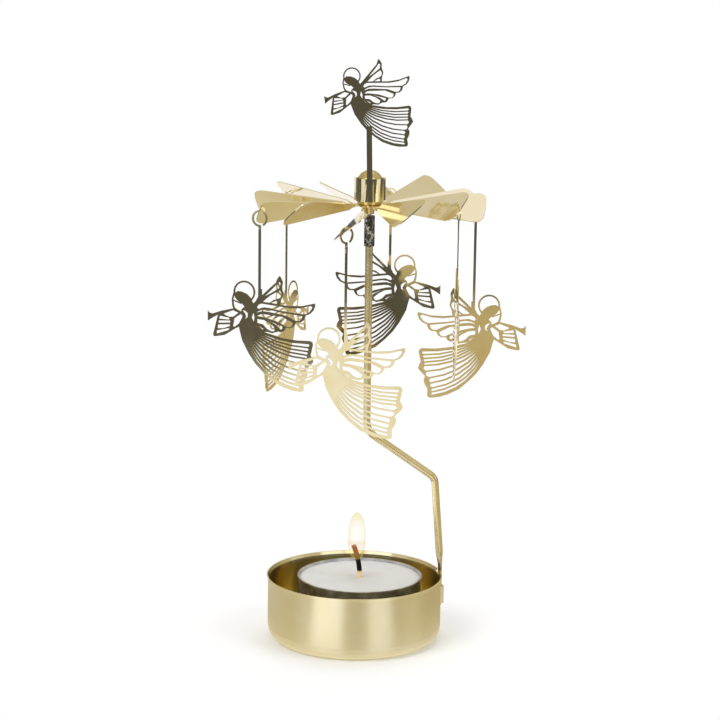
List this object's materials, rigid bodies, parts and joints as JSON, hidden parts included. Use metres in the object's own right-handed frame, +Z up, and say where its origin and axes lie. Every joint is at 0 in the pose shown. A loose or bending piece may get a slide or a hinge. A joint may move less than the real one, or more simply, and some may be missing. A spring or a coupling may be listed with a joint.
{
  "type": "angel chime carousel",
  "caption": "Brass candle carousel: a tealight in a round cup, a bent post and a bladed rotor hung with pierced trumpeting angels under one more on top.",
  "frame": {"origin": "middle of the cup's flat underside", "axes": "+Z up, parallel to the post's upright part; +X towards the side of the cup that carries the post"},
  "size_m": [0.0957, 0.0825, 0.1729],
  "materials": {
    "cup_brass": "satin",
    "post_brass": "satin",
    "sheet_brass": "polished",
    "angel_brass": "polished",
    "cap_brass": "polished",
    "ferrule_metal": "polished",
    "needle_steel": "satin",
    "tealight_aluminium": "satin",
    "wax": "waxy, slightly translucent",
    "wick": "charred braid"
  },
  "bodies": {
    "holder": {"cup": "cup_brass", "post": "post_brass", "ferrule": "ferrule_metal", "pivot_needle": "needle_steel"},
    "tealight": {"tealight_shell": "tealight_aluminium", "tealight_wax": "wax", "tealight_wick": "wick"},
    "carousel": {"rotor": "sheet_brass", "pivot_cap": "cap_brass"},
    "top_ornament": {"top_angel": "angel_brass"},
    "hanging_angel_1": {"hanging_angel_1": "angel_brass"},
    "hanging_angel_2": {"hanging_angel_2": "angel_brass"},
    "hanging_angel_3": {"hanging_angel_3": "angel_brass"},
    "hanging_angel_4": {"hanging_angel_4": "angel_brass"},
    "hanging_angel_5": {"hanging_angel_5": "angel_brass"},
    "hanging_angel_6": {"hanging_angel_6": "angel_brass"}
  },
  "joints": [
    {"name": "tealight_lift", "type": "slide", "parent": "holder", "child": "tealight", "axis": [0, 0, 1], "range_m": [0, 0.019]},
    {"name": "carousel_spin", "type": "hinge", "parent": "holder", "child": "carousel", "pos_m": [0.0031, 0, 0.1405], "axis": [0, 0, 1], "continuous": true},
    {"name": "ornament_lift", "type": "slide", "parent": "carousel", "child": "top_ornament", "axis": [0, 0, 1], "range_m": [0, 0.01]},
    {"name": "hanging_angel_1_swing", "type": "hinge", "parent": "carousel", "child": "hanging_angel_1", "pos_m": [0.03631, 0.00321, 0.12891], "axis": [-0.5461, -0.8377, 0], "range_deg": [-12, 12]},
    {"name": "hanging_angel_2_swing", "type": "hinge", "parent": "carousel", "child": "hanging_angel_2", "pos_m": [0.01696, 0.03037, 0.13012], "axis": [0.4524, -0.8918, 0], "range_deg": [-12, 12]},
    {"name": "hanging_angel_3_swing", "type": "hinge", "parent": "carousel", "child": "hanging_angel_3", "pos_m": [-0.01627, 0.02719, 0.13012], "axis": [0.9985, -0.0541, 0], "range_deg": [-12, 12]},
    {"name": "hanging_angel_4_swing", "type": "hinge", "parent": "carousel", "child": "hanging_angel_4", "pos_m": [-0.03003, -0.00324, 0.12747], "axis": [0.5461, 0.8377, 0], "range_deg": [-12, 12]},
    {"name": "hanging_angel_5_swing", "type": "hinge", "parent": "carousel", "child": "hanging_angel_5", "pos_m": [-0.01053, -0.03012, 0.12556], "axis": [-0.4524, 0.8918, 0], "range_deg": [-12, 12]},
    {"name": "hanging_angel_6_swing", "type": "hinge", "parent": "carousel", "child": "hanging_angel_6", "pos_m": [0.02243, -0.02718, 0.13108], "axis": [-0.9985, 0.0541, 0], "range_deg": [-12, 12]}
  ]
}
